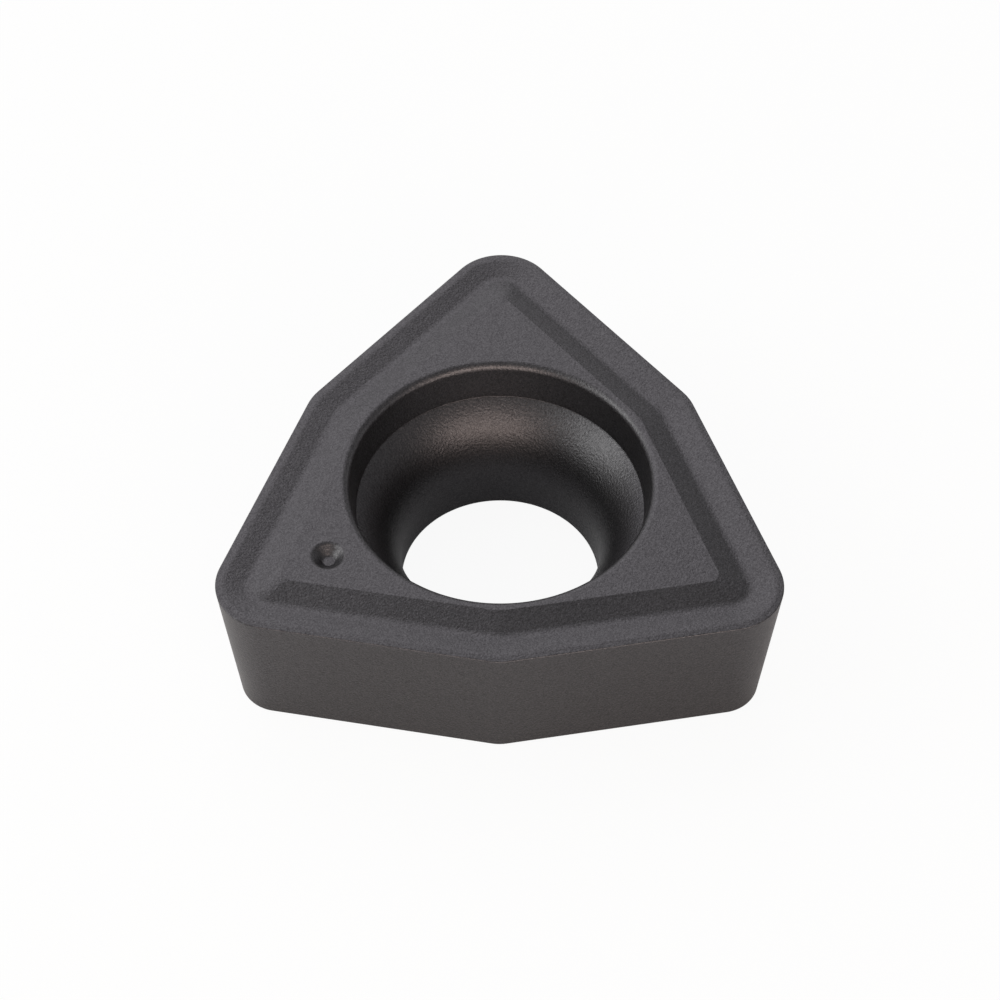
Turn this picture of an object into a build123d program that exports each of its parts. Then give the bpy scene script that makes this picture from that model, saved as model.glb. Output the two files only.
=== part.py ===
from build123d import *
from math import cos, radians, sin, sqrt, tan
import os

# Trigon carbide insert with one chipbreaker side, made as one pressed and sintered piece.
# Millimetres. The origin lies on the screw hole's axis at the seating face, with +Z up
# through the hole and one nose on +Y.

# Outline at the top of the flanks
inscribed_circle = 6.35
nose_angle = 80.0
nose_radius = 0.80
side_corner_radius = 0.84
noses = 3

# Height and flanks
flank_height = 2.345
clearance_angle = 5.5

# Chipbreaker, from the cutting edge inward
land_width = 0.10
land_angle = 4.0
groove_reach = 0.45
groove_depth = 0.064
groove_radius = 0.20
island_reach = 0.85
island_rise = 0.05
tightest_radius = 0.15

# Screw hole, from the seating face upward
bore_radius = 1.475
bore_edge_break = 0.07
seat_radius = 1.45
seat_depth = 0.60
well_angle = 9.8
mouth_radius = 2.26
mouth_chamfer_width = 0.075
mouth_chamfer_depth = 0.108

# Index dimple beside the hole, on the way to the left front nose
dimple_radius = 0.215
dimple_floor_radius = 0.15
dimple_depth = 0.137
dimple_gap = 0.325
dimple_rim_rounding = 0.04
dimple_floor_rounding = 0.12
dimple_nose = 1

# Worked out from the sizes above
full_turn = 360.0
nose_pitch = full_turn / noses
first_nose = 90.0
ridge_height = flank_height + land_width * tan(radians(land_angle))
groove_height = flank_height - groove_depth
island_height = flank_height + island_rise

mouth_height = island_height - mouth_chamfer_depth
well_radius = mouth_radius - mouth_chamfer_width
crease_height = island_height - seat_depth
crease_radius = well_radius - (mouth_height - crease_height) * tan(radians(well_angle))
seat_width = crease_radius - bore_radius
neck_height = crease_height - sqrt(2 * seat_width * seat_radius - seat_width**2)

height_tolerance = 1e-4


def trigon(inset: float, height: float) -> Sketch:
    """Draw the trigon outline at one height, a constant distance inside the cutting edge.

    The noses are the far corners of the six-sided outline and the side corners are the
    near ones. A nose rounds less the farther in it lies, so that outlines stay parallel
    round it, down to the tightest radius that a pressed form keeps.
    """
    reach = inscribed_circle / 2 - inset
    nose_distance = reach / sin(radians(nose_angle / 2))
    side_distance = reach / cos(radians((nose_angle - nose_pitch / 2) / 2))
    points = []
    for index in range(noses):
        heading = first_nose + index * nose_pitch
        points.append(Vector(nose_distance, 0).rotate(Axis.Z, heading))
        points.append(Vector(side_distance, 0).rotate(Axis.Z, heading + nose_pitch / 2))
    with BuildSketch(Plane.XY.offset(height)) as section:
        with BuildLine():
            Polyline(*points, close=True)
        make_face()
        side_corners = section.vertices().sort_by(SortBy.DISTANCE)[:noses]
        fillet(side_corners, side_corner_radius)
        nose_corners = section.vertices().sort_by(SortBy.DISTANCE)[-noses:]
        fillet(nose_corners, max(nose_radius - inset, tightest_radius))
    return section.sketch


def lying_at(height: float, edges: ShapeList) -> ShapeList:
    """Pick the edges that lie flat at one height."""
    return edges.filter_by_position(Axis.Z, height - height_tolerance, height + height_tolerance)


with BuildPart() as insert:
    # Body, with flanks that lean in toward the seating face by the clearance angle
    flank_top = trigon(0, flank_height)
    extrude(flank_top, amount=-flank_height)
    flanks = insert.faces().sort_by(Axis.Z)[1:-1]
    draft(flanks, Plane.XY.offset(flank_height), -clearance_angle)

    # Narrow land that strengthens the cutting edge
    ridge = trigon(land_width, ridge_height)
    loft([flank_top, ridge], ruled=True)

    # Chipbreaker groove, pressed down behind the land
    groove_line = trigon(groove_reach, groove_height)
    loft([groove_line, ridge], ruled=True, mode=Mode.SUBTRACT)

    # Central island, which climbs out of the groove
    loft([groove_line, trigon(island_reach, island_height)], ruled=True)
    fillet(lying_at(groove_height, insert.edges()), groove_radius)

    # Screw hole: broken edge, bore, rounded seat for the screw head, tapered well, mouth
    with BuildSketch(Plane.XZ):
        with BuildLine():
            Polyline(
                (0, -bore_edge_break),
                (bore_radius + 2 * bore_edge_break, -bore_edge_break),
                (bore_radius, bore_edge_break),
                (bore_radius, neck_height),
            )
            TangentArc(
                (bore_radius, neck_height), (crease_radius, crease_height), tangent=(0, 1)
            )
            Polyline(
                (crease_radius, crease_height),
                (well_radius, mouth_height),
                (mouth_radius, island_height),
                (mouth_radius, island_height + seat_depth),
                (0, island_height + seat_depth),
                (0, -bore_edge_break),
            )
        make_face()
    revolve(axis=Axis.Z, mode=Mode.SUBTRACT)

    # Index dimple, a shallow pressed pit that tells the edges apart
    dimple_distance = mouth_radius + dimple_gap + dimple_radius
    dimple_heading = first_nose + dimple_nose * nose_pitch
    dimple_place = Vector(dimple_distance, 0, island_height).rotate(Axis.Z, dimple_heading)
    with Locations(dimple_place):
        Cone(
            bottom_radius=dimple_floor_radius,
            top_radius=dimple_radius,
            height=dimple_depth,
            align=(Align.CENTER, Align.CENTER, Align.MAX),
            mode=Mode.SUBTRACT,
        )
    rim_edges = lying_at(island_height, insert.edges())
    fillet(rim_edges.sort_by_distance(dimple_place)[0], dimple_rim_rounding)
    floor_edges = lying_at(island_height - dimple_depth, insert.edges())
    fillet(floor_edges.sort_by_distance(dimple_place)[0], dimple_floor_rounding)

insert.part.label = "insert"

os.makedirs("parts", exist_ok=True)
export_step(insert.part, "parts/insert.step")
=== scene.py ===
"""Coated carbide insert, dressed for the photograph's view.

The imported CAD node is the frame. One finer surface of the same sizes replaces it, with the small
roundings, the honed cutting edge and the grain of the real coating. Everything is in metres, with
the origin on the screw hole's axis at the seating face and one nose toward +Y.
"""

import logging
from dataclasses import dataclass, field
from enum import Enum
from math import cos, pi, radians, sin, sqrt, tan
from typing import Any

import bpy
import numpy as np
from mathutils import Matrix, Vector

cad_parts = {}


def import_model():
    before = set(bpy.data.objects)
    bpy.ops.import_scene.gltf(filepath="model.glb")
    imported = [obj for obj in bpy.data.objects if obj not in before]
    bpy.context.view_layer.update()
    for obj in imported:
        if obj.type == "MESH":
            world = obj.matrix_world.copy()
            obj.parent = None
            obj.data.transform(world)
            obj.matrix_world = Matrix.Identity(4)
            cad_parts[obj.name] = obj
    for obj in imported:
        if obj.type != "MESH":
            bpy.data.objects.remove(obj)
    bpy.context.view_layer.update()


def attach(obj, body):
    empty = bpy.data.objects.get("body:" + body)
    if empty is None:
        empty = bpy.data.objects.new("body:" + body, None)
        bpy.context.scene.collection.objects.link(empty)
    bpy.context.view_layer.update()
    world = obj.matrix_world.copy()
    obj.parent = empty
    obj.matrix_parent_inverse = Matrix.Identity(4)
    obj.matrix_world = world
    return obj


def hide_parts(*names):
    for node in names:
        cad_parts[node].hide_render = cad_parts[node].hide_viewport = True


LOG = logging.getLogger("insert")
MM = 1e-3

WHITE = (1.0, 1.0, 1.0, 1.0)
NOISE_MEAN = 0.5

# Places of the Mix node's sockets when it mixes colours
MIX_SHARE, MIX_FIRST, MIX_SECOND, MIX_RESULT = 0, 6, 7, 2

Colour = tuple[float, float, float]


# Shader graphs


class Value:
    """A number carried by a socket, with the operators that the finishes use."""

    def __init__(self, graph: "Graph", socket: bpy.types.NodeSocket) -> None:
        """Wrap one output socket of a graph.

        Args:
            graph: the graph that the socket belongs to.
            socket: the output socket.
        """
        self.graph = graph
        self.socket = socket

    def _math(
        self, operation: str, first: "Value | float", second: "Value | float"
    ) -> "Value":
        """Add one Math node.

        Args:
            operation: the Math node's operation.
            first: a number or a Value.
            second: a number or a Value.

        Returns:
            The node's result.
        """
        node = self.graph.node("ShaderNodeMath", {"operation": operation}, {0: first, 1: second})
        return Value(self.graph, node.outputs[0])

    def __add__(self, other: "Value | float") -> "Value":
        """Sum of two values."""
        return self._math("ADD", self, other)

    def __radd__(self, other: "Value | float") -> "Value":
        """Sum with a plain number on the left."""
        return self._math("ADD", other, self)

    def __sub__(self, other: "Value | float") -> "Value":
        """Difference of two values."""
        return self._math("SUBTRACT", self, other)

    def __rsub__(self, other: "Value | float") -> "Value":
        """Difference with a plain number on the left."""
        return self._math("SUBTRACT", other, self)

    def __mul__(self, other: "Value | float") -> "Value":
        """Product of two values."""
        return self._math("MULTIPLY", self, other)

    def __rmul__(self, other: "Value | float") -> "Value":
        """Product with a plain number on the left."""
        return self._math("MULTIPLY", other, self)

    def largest(self, other: "Value | float") -> "Value":
        """The larger of two values."""
        return self._math("MAXIMUM", self, other)


class Graph:
    """Adds nodes to one material or world, which starts empty."""

    def __init__(self, tree: bpy.types.NodeTree) -> None:
        """Empty a node tree and keep it.

        Args:
            tree: the node tree of a material or of the world.
        """
        self.tree = tree
        self.tree.nodes.clear()

    def node(
        self, kind: str, settings: dict[str, Any] | None = None, inputs: dict[Any, Any] | None = None
    ) -> bpy.types.Node:
        """Add one node, its settings first and its sockets after them.

        Args:
            kind: the node's type.
            settings: the node's own properties.
            inputs: a number, colour, socket or Value for each input, by name or by place.

        Returns:
            The new node.
        """
        made = self.tree.nodes.new(kind)
        for name, value in (settings or {}).items():
            setattr(made, name, value)
        for name, value in (inputs or {}).items():
            source = value.socket if isinstance(value, Value) else value
            if isinstance(source, bpy.types.NodeSocket):
                self.tree.links.new(source, made.inputs[name])
            else:
                made.inputs[name].default_value = source
        return made

    def noise(self, place: bpy.types.NodeSocket, grain: float, detail: float, rough: float) -> Value:
        """Even random noise in three directions.

        Args:
            place: the coordinates to read.
            grain: the size of one grain, in metres.
            detail: how many finer octaves are added.
            rough: how strong the finer octaves are.

        Returns:
            The noise, near 0.5 on average.
        """
        inputs = {"Vector": place, "Scale": 1 / grain, "Detail": detail, "Roughness": rough}
        made = self.node("ShaderNodeTexNoise", {"noise_dimensions": "3D"}, inputs)
        return Value(self, made.outputs["Fac"])

    def grains(self, place: bpy.types.NodeSocket, size: float) -> Value:
        """Small cells packed in three directions, each with a random tone.

        Args:
            place: the coordinates to read.
            size: the distance from one cell to the next, in metres.

        Returns:
            The cell's tone, from 0 to 1.
        """
        settings = {"voronoi_dimensions": "3D", "feature": "F1"}
        made = self.node("ShaderNodeTexVoronoi", settings, {"Vector": place, "Scale": 1 / size})
        tone = self.node("ShaderNodeRGBToBW", None, {"Color": made.outputs["Color"]})
        return Value(self, tone.outputs[0])

    def blend(self, share: Value, first: Colour, second: Colour) -> bpy.types.NodeSocket:
        """Mix two colours.

        Args:
            share: how much of the second colour shows, from 0 to 1.
            first: the colour at 0.
            second: the colour at 1.

        Returns:
            The mixed colour's socket.
        """
        inputs = {MIX_SHARE: share, MIX_FIRST: (*first, 1.0), MIX_SECOND: (*second, 1.0)}
        return self.node("ShaderNodeMix", {"data_type": "RGBA"}, inputs).outputs[MIX_RESULT]

    def mix(
        self, share: "Value | bpy.types.NodeSocket", first: bpy.types.Node, second: bpy.types.Node
    ) -> bpy.types.Node:
        """Mix two shaders.

        Args:
            share: how much of the second shader shows, from 0 to 1.
            first: the shader at 0.
            second: the shader at 1.

        Returns:
            The mixing node.
        """
        inputs = {0: share, 1: first.outputs[0], 2: second.outputs[0]}
        return self.node("ShaderNodeMixShader", None, inputs)

    def sight(self) -> tuple[Value, Value]:
        """Who looks at the surface.

        Returns:
            1 where the camera looks, and 1 where a reflection or a clear piece shows the surface.
        """
        paths = self.node("ShaderNodeLightPath").outputs
        glossy = Value(self, paths["Is Glossy Ray"])
        through = Value(self, paths["Is Transmission Ray"])
        return Value(self, paths["Is Camera Ray"]), glossy.largest(through)


# Finishes


@dataclass(frozen=True)
class CoatedCarbide:
    """Sintered carbide under a thin dark coating, matt with a fine sandy grain."""

    name: str = "dark_coating"
    dark: Colour = (0.049, 0.047, 0.050)
    light: Colour = (0.119, 0.115, 0.121)
    metallic: float = 1.0
    roughness: float = 0.43
    roughness_swing: float = 0.10
    grain: float = 0.016 * MM
    grain_share: float = 0.85
    grit: float = 0.034 * MM
    grit_detail: float = 1.0
    grit_rough: float = 0.5
    relief: float = 0.0055 * MM
    cloud: float = 1.3 * MM
    cloud_detail: float = 3.0
    cloud_rough: float = 0.55

    def make(self) -> bpy.types.Material:
        """Build the material.

        Every sintered grain has a tone of its own, grit is a fine noise that tilts the surface, and
        cloud is a slow noise that makes some patches of the coating a little smoother and darker.

        Returns:
            The new material.
        """
        material = bpy.data.materials.new(self.name)
        material.use_nodes = True
        graph = Graph(material.node_tree)
        place = graph.node("ShaderNodeTexCoord").outputs["Object"]
        grain = graph.grains(place, self.grain)
        grit = graph.noise(place, self.grit, self.grit_detail, self.grit_rough)
        cloud = graph.noise(place, self.cloud, self.cloud_detail, self.cloud_rough)
        tone = grain * self.grain_share + cloud * (1 - self.grain_share)
        colour = graph.blend(tone, self.dark, self.light)
        gloss = self.roughness + (cloud - NOISE_MEAN) * self.roughness_swing
        bump = graph.node("ShaderNodeBump", None, {"Height": grit, "Distance": self.relief})
        surface = graph.node(
            "ShaderNodeBsdfPrincipled",
            None,
            {
                "Base Color": colour,
                "Metallic": self.metallic,
                "Roughness": gloss,
                "Normal": bump.outputs[0],
            },
        )
        graph.node("ShaderNodeOutputMaterial", None, {"Surface": surface.outputs[0]})
        return material


@dataclass(frozen=True)
class PalePaper:
    """Matt pale paper that the insert lies on, white to the camera but for the shadow."""

    name: str = "pale_paper"
    colour: Colour = (0.88, 0.88, 0.88)
    camera_glow: float = 0.93
    mirror_glow: float = 0.10

    def make(self) -> bpy.types.Material:
        """Build the material.

        Seen by the camera or in a reflection, the paper glows a little, and the light that falls on
        it makes up the rest of its white, so the shadow stays. It is open from below.

        Returns:
            The new material.
        """
        material = bpy.data.materials.new(self.name)
        material.use_nodes = True
        graph = Graph(material.node_tree)
        camera, mirror = graph.sight()
        glow = camera * self.camera_glow + mirror * self.mirror_glow
        matt = graph.node("ShaderNodeBsdfDiffuse", None, {"Color": (*self.colour, 1.0)})
        white = graph.node("ShaderNodeEmission", None, {"Strength": 1.0})
        front = graph.mix(glow, matt, white)
        back = graph.node("ShaderNodeNewGeometry").outputs["Backfacing"]
        both = graph.mix(back, front, graph.node("ShaderNodeBsdfTransparent"))
        graph.node("ShaderNodeOutputMaterial", None, {"Surface": both.outputs[0]})
        return material


# Curves that the surfaces are carried along


@dataclass(frozen=True)
class Corner:
    """One corner of a section, with its rounding."""

    across: float
    height: float
    radius: float = 0.0
    steps: int = 0


def rounded_section(corners: list[Corner], support: float) -> np.ndarray:
    """Round the corners of a section.

    A corner of turn T and radius R is an arc that starts and ends R tan(T / 2) from the corner,
    along its two sides. A point on each side, a little past the arc, keeps the flats flat.

    Args:
        corners: the section's corners in order; the first and the last are plain ends.
        support: how far past the arc the extra points lie, in metres.

    Returns:
        The points of the section, as rows of across and height.
    """
    points = np.array([(c.across, c.height) for c in corners])
    sides = np.diff(points, axis=0)
    sides /= np.linalg.norm(sides, axis=1)[:, None]
    parts = [points[:1]]
    for index, corner in enumerate(corners[1:-1]):
        before, after = sides[index], sides[index + 1]
        turn = np.arccos(np.clip(before @ after, -1, 1))
        reach = corner.radius * tan(turn / 2)
        here = points[index + 1]
        middle = here + (after - before) * corner.radius / np.sin(turn)
        start, end = here - before * reach - middle, here + after * reach - middle
        share = np.linspace(0, 1, corner.steps + 1)[:, None]
        arc = middle + (np.sin((1 - share) * turn) * start + np.sin(share * turn) * end) / np.sin(turn)
        lead, tail = here - before * (reach + support), here + after * (reach + support)
        parts += [lead[None], arc, tail[None]]
    return np.concatenate([*parts, points[-1:]])


def arcs(far: np.ndarray, radius: np.ndarray, heading: float, normals: np.ndarray) -> np.ndarray:
    """Draw one arc for every row of a section.

    A point is the arc's centre plus the radius times the unit vector of its normal.

    Args:
        far: how far each row's centre lies from the hole's axis.
        radius: each row's radius.
        heading: the direction of the centres from the axis.
        normals: the directions of the arc's normals.

    Returns:
        The points, by row and along the arc, as x and y.
    """
    x = far * cos(heading) + radius * np.cos(normals)
    y = far * sin(heading) + radius * np.sin(normals)
    return np.stack([x, y], axis=-1)


@dataclass
class Trigon:
    """Six-sided outline with three rounded noses and three blunt side corners."""

    inscribed_radius: float = 3.175 * MM
    half_nose: float = radians(40.0)
    noses: int = 3
    first_nose: float = radians(90.0)
    nose_radius: float = 0.80 * MM
    tightest_radius: float = 0.15 * MM
    side_radius: float = 0.84 * MM
    nose_steps: int = 32
    side_steps: int = 12
    straight_steps: int = 36

    @property
    def columns(self) -> int:
        """How many points go once round."""
        return self.noses * (self.nose_steps + self.side_steps + 2 * self.straight_steps)

    def rings(self, inset: np.ndarray, lean: np.ndarray) -> np.ndarray:
        """Draw the outline once for every row of a section.

        Each corner is an arc about a centre on its own axis. With R the inscribed radius less the
        inset and r the arc's radius, a nose's centre lies (R - r) / sin(half nose) from the hole's
        axis and a side corner's (R - r) / cos(half turn). Straight sides join the arcs.

        Args:
            inset: how far inside the cutting edge each row lies.
            lean: how much of that inset comes from the flank, which tapers the side corners too.

        Returns:
            The points, by row and by column, as x and y.
        """
        half_pitch = pi / self.noses
        half_turn = self.half_nose - half_pitch / 2
        sweep = pi / 2 - self.half_nose
        reach = self.inscribed_radius - inset[:, None]
        nose_r = np.maximum(self.nose_radius - inset, self.tightest_radius)[:, None]
        side_r = (self.side_radius - lean)[:, None]
        nose_far = (reach - nose_r) / sin(self.half_nose)
        side_far = (reach - side_r) / cos(half_turn)
        nose = arcs(nose_far, nose_r, 0.0, np.linspace(-sweep, sweep, self.nose_steps + 1))
        side_normals = np.linspace(sweep, 2 * half_pitch - sweep, self.side_steps + 1)
        side = arcs(side_far, side_r, half_pitch, side_normals)
        next_normal = np.array([2 * half_pitch - sweep])
        next_nose = arcs(nose_far, nose_r, 2 * half_pitch, next_normal)
        share = np.linspace(0, 1, self.straight_steps + 1)[None, 1:-1, None]
        away = nose[:, -1:] * (1 - share) + side[:, :1] * share
        home = side[:, -1:] * (1 - share) + next_nose * share
        third = np.concatenate([nose, away, side, home], axis=1)
        headings = self.first_nose + np.arange(self.noses) * 2 * half_pitch
        turned = np.stack(
            [
                third[..., 0, None] * np.cos(headings) - third[..., 1, None] * np.sin(headings),
                third[..., 0, None] * np.sin(headings) + third[..., 1, None] * np.cos(headings),
            ],
            axis=-1,
        )
        return turned.transpose(0, 2, 1, 3).reshape(len(inset), -1, 2)


# The insert


@dataclass
class Dimple:
    """Small pressed pit beside the hole, on the way to one nose."""

    distance: float = 2.80 * MM
    heading: float = radians(210.0)
    radius: float = 0.238 * MM
    floor_radius: float = 0.085 * MM
    depth: float = 0.130 * MM
    rim_rounding: float = 0.09 * MM
    floor_rounding: float = 0.06 * MM
    margin: float = 0.045 * MM
    last_ring: float = 0.125
    rounding_steps: int = 8
    flat_rows: int = 4
    nose: int = 1

    @property
    def centre(self) -> np.ndarray:
        """Where its axis stands, as x and y."""
        return self.distance * np.array([cos(self.heading), sin(self.heading)])

    def rows(self, border: np.ndarray, across: int, top: float, support: float) -> np.ndarray:
        """Carry a border on the flat face inward and down into the pit.

        The first rows go straight from the border to a circle at the rim. The others are that
        circle carried down the pit's section. A point keeps its own bearing about the pit's axis.

        Args:
            border: the border's points in order, as x and y.
            across: how many steps its first side has, whose middle lies toward the nose.
            top: the height of the flat face.
            support: how far past a rounding the extra rows lie.

        Returns:
            The points, by row and by place round the pit, as x, y and z.
        """
        offset = border - self.centre
        bearing = np.unwrap(np.arctan2(offset[:, 1], offset[:, 0]))
        # Halfway to an even spread, so that no cell is much narrower than its neighbours
        middle = across // 2
        even = bearing[middle] + 2 * pi * (np.arange(len(border)) - middle) / len(border)
        bearing = (bearing + even) / 2
        circle = np.stack([np.cos(bearing), np.sin(bearing)], axis=-1)
        floor = top - self.depth
        section = rounded_section(
            [
                Corner(self.radius + self.margin, top),
                Corner(self.radius, top, self.rim_rounding, self.rounding_steps),
                Corner(self.floor_radius, floor, self.floor_rounding, self.rounding_steps),
                Corner(self.floor_radius * self.last_ring, floor),
            ],
            support,
        )
        rim = self.centre + section[0, 0] * circle
        share = np.linspace(0, 1, self.flat_rows + 1)[1:-1, None, None]
        flat = border * (1 - share) + rim * share
        pit = self.centre + section[:, 0, None, None] * circle
        flat = np.concatenate([flat, np.full((*flat.shape[:2], 1), top)], axis=2)
        heights = np.broadcast_to(section[:, 1, None, None], (*pit.shape[:2], 1))
        return np.concatenate([flat, np.concatenate([pit, heights], axis=2)])


@dataclass
class Insert:
    """The whole insert as one closed surface."""

    outline: Trigon = field(default_factory=Trigon)
    dimple: Dimple = field(default_factory=Dimple)
    finish: CoatedCarbide = field(default_factory=CoatedCarbide)
    support: float = 0.004 * MM

    flank_height: float = 2.345 * MM
    clearance: float = radians(5.5)
    foot_margin: float = 0.12 * MM
    foot_rounding: float = 0.03 * MM
    hone: float = 0.015 * MM
    land_width: float = 0.115 * MM
    land_angle: float = radians(4.0)
    ridge_rounding: float = 0.25 * MM
    groove_reach: float = 0.465 * MM
    groove_depth: float = 0.064 * MM
    groove_rounding: float = 0.32 * MM
    island_reach: float = 0.85 * MM
    island_rise: float = 0.05 * MM
    island_rounding: float = 0.04 * MM
    island_margin: float = 0.011 * MM

    well_radius: float = 2.189 * MM
    mouth_rounding: float = 0.125 * MM
    mouth_margin: float = 0.112 * MM
    well_angle: float = radians(8.5)
    seat_depth: float = 0.60 * MM
    seat_radius: float = 1.45 * MM
    seat_share: float = 0.985
    crease_rounding: float = 0.012 * MM
    bore_radius: float = 1.475 * MM
    bore_edge_break: float = 0.07 * MM
    break_rounding: float = 0.02 * MM
    bore_margin: float = 0.16 * MM

    tight_steps: int = 5
    foot_steps: int = 6
    edge_steps: int = 8
    soft_steps: int = 14
    seat_steps: int = 28
    face_rows: int = 24
    foot_rows: int = 6
    pit_rows: tuple[int, int] = (7, 22)
    pit_spare_columns: int = 3

    @property
    def face_height(self) -> float:
        """Height of the raised centre."""
        return self.flank_height + self.island_rise

    @property
    def foot_inset(self) -> float:
        """How far the flank has drawn in at the seating face."""
        return self.flank_height * tan(self.clearance)

    def outer_section(self) -> np.ndarray:
        """Section from the seating face up the flank and over the chipbreaker to the raised centre.

        Returns:
            Rows of inset from the cutting edge and height.
        """
        foot, face = self.foot_inset, self.face_height
        ridge = self.flank_height + self.land_width * tan(self.land_angle)
        groove = self.flank_height - self.groove_depth
        return rounded_section(
            [
                Corner(foot + self.foot_margin, 0.0),
                Corner(foot, 0.0, self.foot_rounding, self.foot_steps),
                Corner(0.0, self.flank_height, self.hone, self.edge_steps),
                Corner(self.land_width, ridge, self.ridge_rounding, self.foot_steps),
                Corner(self.groove_reach, groove, self.groove_rounding, self.soft_steps),
                Corner(self.island_reach, face, self.island_rounding, self.edge_steps),
                Corner(self.island_reach + self.island_margin, face),
            ],
            self.support,
        )

    def hole_section(self) -> np.ndarray:
        """Section from the raised centre down the screw hole to the seating face.

        The mouth is rounded into the well's wall, and the seat is an arc tangent to the bore that
        ends at the crease under the well. With R the arc's radius and w the crease's radius less
        the bore's, the arc starts sqrt(2 w R - w squared) under the crease and turns arccos(1 - w / R).
        It keeps its share of R, so that the crease's own rounding has room.

        Returns:
            Rows of radius from the hole's axis and height.
        """
        face, bore, edge = self.face_height, self.bore_radius, self.bore_edge_break
        crease_height = face - self.seat_depth
        crease_radius = self.well_radius - self.seat_depth * tan(self.well_angle)
        width = crease_radius - bore
        neck = crease_height - sqrt(2 * width * self.seat_radius - width**2)
        turn = np.arccos(1 - width / self.seat_radius)
        knee = neck + self.seat_radius * tan(turn / 2)
        seat = self.seat_radius * self.seat_share
        return rounded_section(
            [
                Corner(self.well_radius + self.mouth_margin, face),
                Corner(self.well_radius, face, self.mouth_rounding, self.soft_steps),
                Corner(crease_radius, crease_height, self.crease_rounding, self.tight_steps),
                Corner(bore, knee, seat, self.seat_steps),
                Corner(bore, edge, self.break_rounding, self.tight_steps),
                Corner(bore + edge, 0.0, self.break_rounding, self.tight_steps),
                Corner(bore + self.bore_margin, 0.0),
            ],
            self.support,
        )

    def surface(self) -> tuple[np.ndarray, int]:
        """Work out the closed surface, without the dimple.

        Row v and column u lie at (1 - w) T(u, inset) + w C(u, radius), where T is the outline at
        the row's inset, C is the circle at the row's radius, and w goes from 0 outside to 1 in the
        hole across the raised centre, and back across the seating face.

        Returns:
            The points by row and column, and the first row of the raised centre.
        """
        outer, hole = self.outer_section(), self.hole_section()
        across = np.linspace(0, 1, self.face_rows + 2)[1:-1]
        below = np.linspace(1, 0, self.foot_rows + 2)[1:-1]
        counts = [len(outer), len(across), len(hole), len(below)]
        inset = np.repeat([0, outer[-1, 0], 0, outer[0, 0]], counts)
        inset[: counts[0]] = outer[:, 0]
        radius = np.repeat([0, hole[0, 0], 0, hole[-1, 0]], counts)
        radius[sum(counts[:2]) : sum(counts[:3])] = hole[:, 0]
        share = np.concatenate([np.zeros(counts[0]), across, np.ones(counts[2]), below])
        height = np.concatenate(
            [outer[:, 1], np.full(counts[1], outer[-1, 1]), hole[:, 1], np.zeros(counts[3])]
        )
        flank_rows = (height < self.flank_height) & (share < 1) & (np.arange(len(share)) < counts[0])
        lean = np.where(flank_rows, np.minimum(inset, self.foot_inset), 0)
        lean[sum(counts[:3]) :] = self.foot_inset
        drawn = np.where(share < 1, inset, self.island_reach)
        rings = self.outline.rings(drawn, lean)
        edge = self.outline.rings(np.array([self.island_reach]), np.zeros(1))[0]
        bearing = np.unwrap(np.arctan2(edge[:, 1], edge[:, 0]))
        # Halfway to an even spread here too
        steps = np.arange(self.outline.columns) - self.outline.nose_steps / 2
        even = self.outline.first_nose + steps * 2 * pi / self.outline.columns
        bearing = (bearing + even) / 2
        circle = np.stack([np.cos(bearing), np.sin(bearing)], axis=-1)
        plan = (1 - share)[:, None, None] * rings + (share * radius)[:, None, None] * circle
        levels = np.broadcast_to(height[:, None, None], (*plan.shape[:2], 1))
        return np.concatenate([plan, levels], axis=2), counts[0]

    def build(self) -> bpy.types.Object:
        """Build the surface, with the dimple let into the raised centre.

        A block of cells round the dimple's place is left out, and the dimple's own rows start from
        the block's border, so the two share their points.

        Returns:
            The new object.
        """
        points, first = self.surface()
        rows, columns = points.shape[:2]
        third = columns // self.outline.noses
        left = self.dimple.nose * third - self.pit_spare_columns
        right = self.dimple.nose * third + self.outline.nose_steps + self.pit_spare_columns
        top, bottom = first + self.pit_rows[0], first + self.pit_rows[1]
        across = np.arange(left, right)
        down = np.arange(top, bottom)
        border = np.concatenate(
            [
                top * columns + across,
                down * columns + right,
                bottom * columns + across[::-1] + 1,
                (down[::-1] + 1) * columns + left,
            ]
        )
        flat = points.reshape(-1, 3)
        pit = self.dimple.rows(flat[border, :2], right - left, self.face_height, self.support)
        start = len(flat)
        ring = np.arange(len(border))
        added = start + np.arange(len(pit) * len(ring)).reshape(len(pit), -1)
        pit_index = np.concatenate([border[None], added])
        centre = np.array([[*self.dimple.centre, pit[-1, 0, 2]]])
        flat = np.concatenate([flat, pit.reshape(-1, 3), centre])

        index = np.arange(rows * columns).reshape(rows, columns)
        body = quads(index, closed_rows=True)
        cell_row, cell_column = np.divmod(np.arange(rows * columns), columns)
        inside = (cell_row >= top) & (cell_row < bottom) & (cell_column >= left) & (cell_column < right)
        faces = np.concatenate([body[~inside], quads(pit_index, closed_rows=False)])
        last = pit_index[-1]
        fan = np.stack([last, np.roll(last, -1), np.full(len(ring), len(flat) - 1)], axis=1)
        used, renamed = np.unique(np.concatenate([faces.ravel(), fan.ravel()]), return_inverse=True)
        faces = renamed[: faces.size].reshape(-1, 4)
        fan = renamed[faces.size :].reshape(-1, 3)
        return add_mesh("coated_insert", flat[used], faces, fan)

    def dress(self, piece: bpy.types.Object) -> None:
        """Give the surface its coating."""
        piece.data.materials.append(self.finish.make())

    def place(self) -> bpy.types.Object:
        """Build the insert, dress it and let it stand for the CAD node.

        Returns:
            The finished object.
        """
        piece = self.build()
        self.dress(piece)
        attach(piece, "root")
        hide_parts("insert")
        return piece


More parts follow.
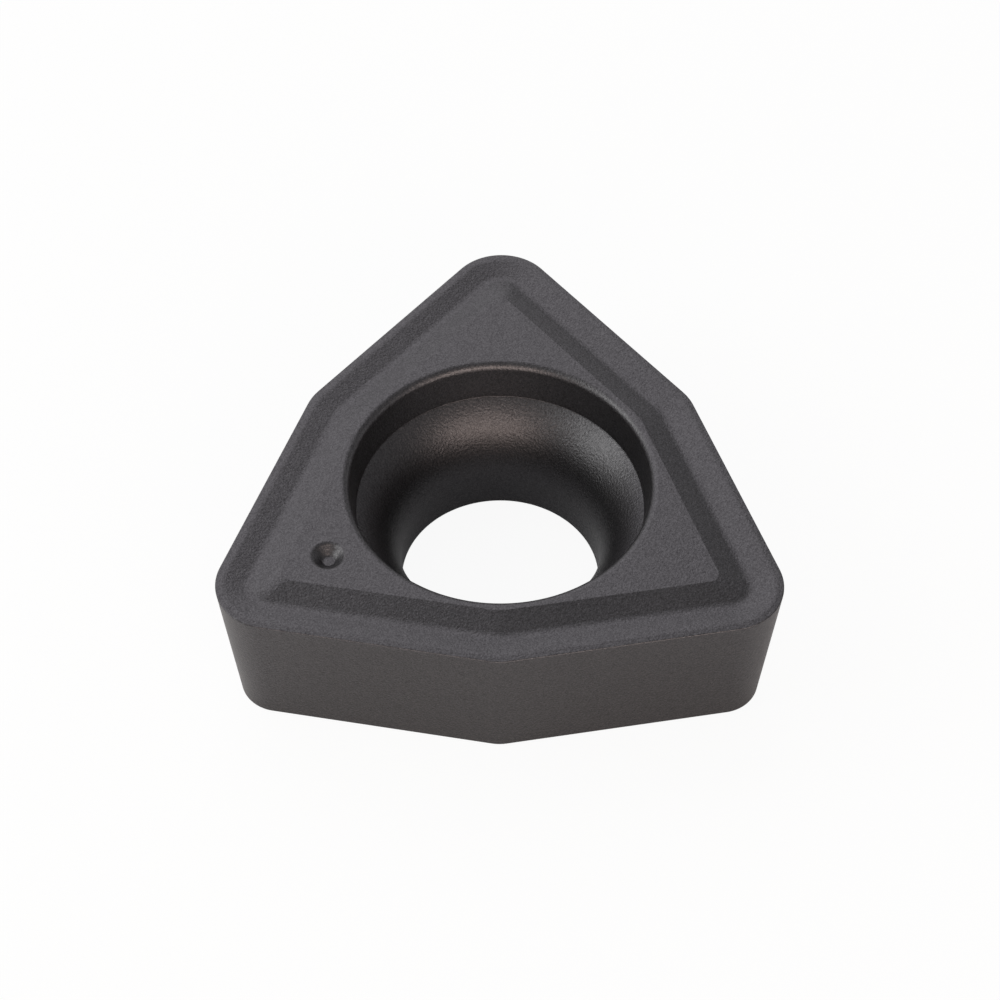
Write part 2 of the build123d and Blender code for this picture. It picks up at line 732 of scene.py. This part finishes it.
def quads(index: np.ndarray, closed_rows: bool) -> np.ndarray:
    """Join a grid of points into four-sided faces, closed round its columns.

    Args:
        index: the points' numbers, by row and column.
        closed_rows: whether the last row joins the first.

    Returns:
        One row of four numbers a face.
    """
    ahead = np.roll(index, -1, axis=1)
    above, ahead_above = np.roll(index, -1, axis=0), np.roll(ahead, -1, axis=0)
    faces = np.stack([index, ahead, ahead_above, above], axis=-1)
    return (faces if closed_rows else faces[:-1]).reshape(-1, 4)


def add_mesh(name: str, points: np.ndarray, faces: np.ndarray, fan: np.ndarray) -> bpy.types.Object:
    """Put points and faces into a new smooth mesh.

    Args:
        name: the object's name.
        points: the points, in metres.
        faces: the four-sided faces.
        fan: the three-sided faces.

    Returns:
        The new object, in the scene.
    """
    mesh = bpy.data.meshes.new(name)
    mesh.vertices.add(len(points))
    mesh.vertices.foreach_set("co", points.astype(np.float32).ravel())
    loops = np.concatenate([faces.ravel(), fan.ravel()]).astype(np.int32)
    mesh.loops.add(len(loops))
    mesh.loops.foreach_set("vertex_index", loops)
    sizes = np.repeat([4, 3], [len(faces), len(fan)])
    starts = np.concatenate([[0], np.cumsum(sizes)[:-1]]).astype(np.int32)
    mesh.polygons.add(len(sizes))
    mesh.polygons.foreach_set("loop_start", starts)
    mesh.polygons.foreach_set("use_smooth", np.ones(len(sizes), bool))
    mesh.update(calc_edges=True)
    mesh.validate()
    made = bpy.data.objects.new(name, mesh)
    bpy.context.scene.collection.objects.link(made)
    return made


# Studio


class Lamp(Enum):
    """The soft lights round the insert."""

    KEY = "key_light"
    FILL = "fill_light"
    BACK = "back_light"


@dataclass(frozen=True)
class SoftBox:
    """One soft light that faces the insert, as wide and as high as it is given.

    Its azimuth and elevation, as seen from the insert, are in degrees.
    """

    lamp: Lamp
    azimuth: float
    elevation: float
    distance: float
    width: float
    height: float
    radiance: float
    colour: Colour

    def place(self) -> bpy.types.Object:
        """Add the light. Its power is radiance times pi times its area.

        Returns:
            The light's object.
        """
        light = bpy.data.lights.new(self.lamp.value, "AREA")
        light.shape = "RECTANGLE"
        light.size, light.size_y = self.width, self.height
        light.energy = self.radiance * pi * self.width * self.height
        light.color = self.colour
        made = bpy.data.objects.new(self.lamp.value, light)
        bpy.context.scene.collection.objects.link(made)
        around, up = radians(self.azimuth), radians(self.elevation)
        direction = Vector((cos(around) * cos(up), sin(around) * cos(up), sin(up)))
        made.location = direction * self.distance
        made.rotation_mode = "QUATERNION"
        made.rotation_quaternion = direction.to_track_quat("Z", "Y")
        made.visible_camera = False
        return made


@dataclass
class Studio:
    """Plain pale floor, plain soft light and the photograph's camera."""

    paper: PalePaper = field(default_factory=PalePaper)
    floor_half: float = 400 * MM
    floor_gap: float = 0.01 * MM
    world_strength: float = 0.33
    wall_foot: float = sin(radians(6.0))
    wall_top: float = sin(radians(22.0))
    boxes: tuple[SoftBox, ...] = (
        SoftBox(
            Lamp.KEY,
            azimuth=185.0,
            elevation=33.0,
            distance=90 * MM,
            width=60 * MM,
            height=50 * MM,
            radiance=3.33,
            colour=(0.97, 1.0, 0.96),
        ),
        SoftBox(
            Lamp.FILL,
            azimuth=280.0,
            elevation=22.0,
            distance=90 * MM,
            width=130 * MM,
            height=46 * MM,
            radiance=3.50,
            colour=(1.0, 0.83, 0.72),
        ),
        SoftBox(
            Lamp.BACK,
            azimuth=115.0,
            elevation=46.0,
            distance=90 * MM,
            width=110 * MM,
            height=90 * MM,
            radiance=1.25,
            colour=(0.985, 0.97, 1.0),
        ),
    )

    camera_place: tuple[float, float, float] = (0.1345 * MM, -27.5071 * MM, 36.1424 * MM)
    camera_azimuth: float = radians(0.2857)
    camera_elevation: float = radians(51.2087)
    camera_roll: float = radians(0.0326)
    sensor: float = 36.0
    lens: float = 108.70
    near: float = 1 * MM
    far: float = 10.0

    def add_floor(self) -> bpy.types.Object:
        """Lay the floor just under the seating face.

        Returns:
            The floor's object.
        """
        half = self.floor_half
        corners = half * np.array([(-1, -1, 0), (1, -1, 0), (1, 1, 0), (-1, 1, 0)])
        corners[:, 2] = -self.floor_gap
        floor = add_mesh("floor", corners, np.arange(4)[None], np.zeros((0, 3), int))
        floor.data.materials.append(self.paper.make())
        return floor

    def add_world(self) -> None:
        """Light the surroundings evenly, with white walls that stand round the floor.

        The camera sees white everywhere, and a reflection sees it low down: the walls are white up to
        their foot's height and fade out smoothly at their top.
        """
        world = bpy.data.worlds.new("studio")
        world.use_nodes = True
        bpy.context.scene.world = world
        graph = Graph(world.node_tree)
        camera, mirror = graph.sight()
        toward = graph.node("ShaderNodeTexCoord").outputs["Generated"]
        height = graph.node("ShaderNodeSeparateXYZ", None, {"Vector": toward}).outputs["Z"]
        fade = graph.node(
            "ShaderNodeMapRange",
            {"interpolation_type": "SMOOTHSTEP"},
            {
                "Value": height,
                "From Min": self.wall_foot,
                "From Max": self.wall_top,
                "To Min": 1.0,
                "To Max": 0.0,
            },
        )
        seen = camera.largest(mirror * Value(graph, fade.outputs["Result"]))
        even = {"Color": WHITE, "Strength": self.world_strength}
        plain = graph.node("ShaderNodeBackground", None, even)
        white = graph.node("ShaderNodeBackground", None, {"Color": WHITE, "Strength": 1.0})
        both = graph.mix(seen, plain, white)
        graph.node("ShaderNodeOutputWorld", None, {"Surface": both.outputs[0]})

    def add_camera(self) -> bpy.types.Object:
        """Stand the camera where the photograph was taken from.

        Returns:
            The camera's object.
        """
        around, up, roll = self.camera_azimuth, self.camera_elevation, self.camera_roll
        forward = Vector((-sin(around) * cos(up), cos(around) * cos(up), -sin(up)))
        level = Vector((cos(around), sin(around), 0))
        down = forward.cross(level)
        right = level * cos(roll) + down * sin(roll)
        below = down * cos(roll) - level * sin(roll)
        data = bpy.data.cameras.new("camera")
        data.sensor_width = self.sensor
        data.lens = self.lens
        data.clip_start, data.clip_end = self.near, self.far
        camera = bpy.data.objects.new("camera", data)
        bpy.context.scene.collection.objects.link(camera)
        turn = Matrix((right, -below, -forward)).transposed()
        camera.matrix_world = Matrix.Translation(self.camera_place) @ turn.to_4x4()
        bpy.context.scene.camera = camera
        return camera

    def place(self) -> None:
        """Build the whole studio."""
        self.add_floor()
        self.add_world()
        for box in self.boxes:
            box.place()
        self.add_camera()
        bpy.context.scene.view_settings.view_transform = "Standard"


def report(piece: bpy.types.Object) -> None:
    """Log one piece's name and its number of faces."""
    LOG.info("%s: %d faces", piece.name, len(piece.data.polygons))


def main() -> None:
    """Load the frame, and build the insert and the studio."""
    logging.basicConfig(level=logging.INFO, format="%(name)s %(message)s")
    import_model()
    report(Insert().place())
    Studio().place()


if __name__ == "__main__":
    main()
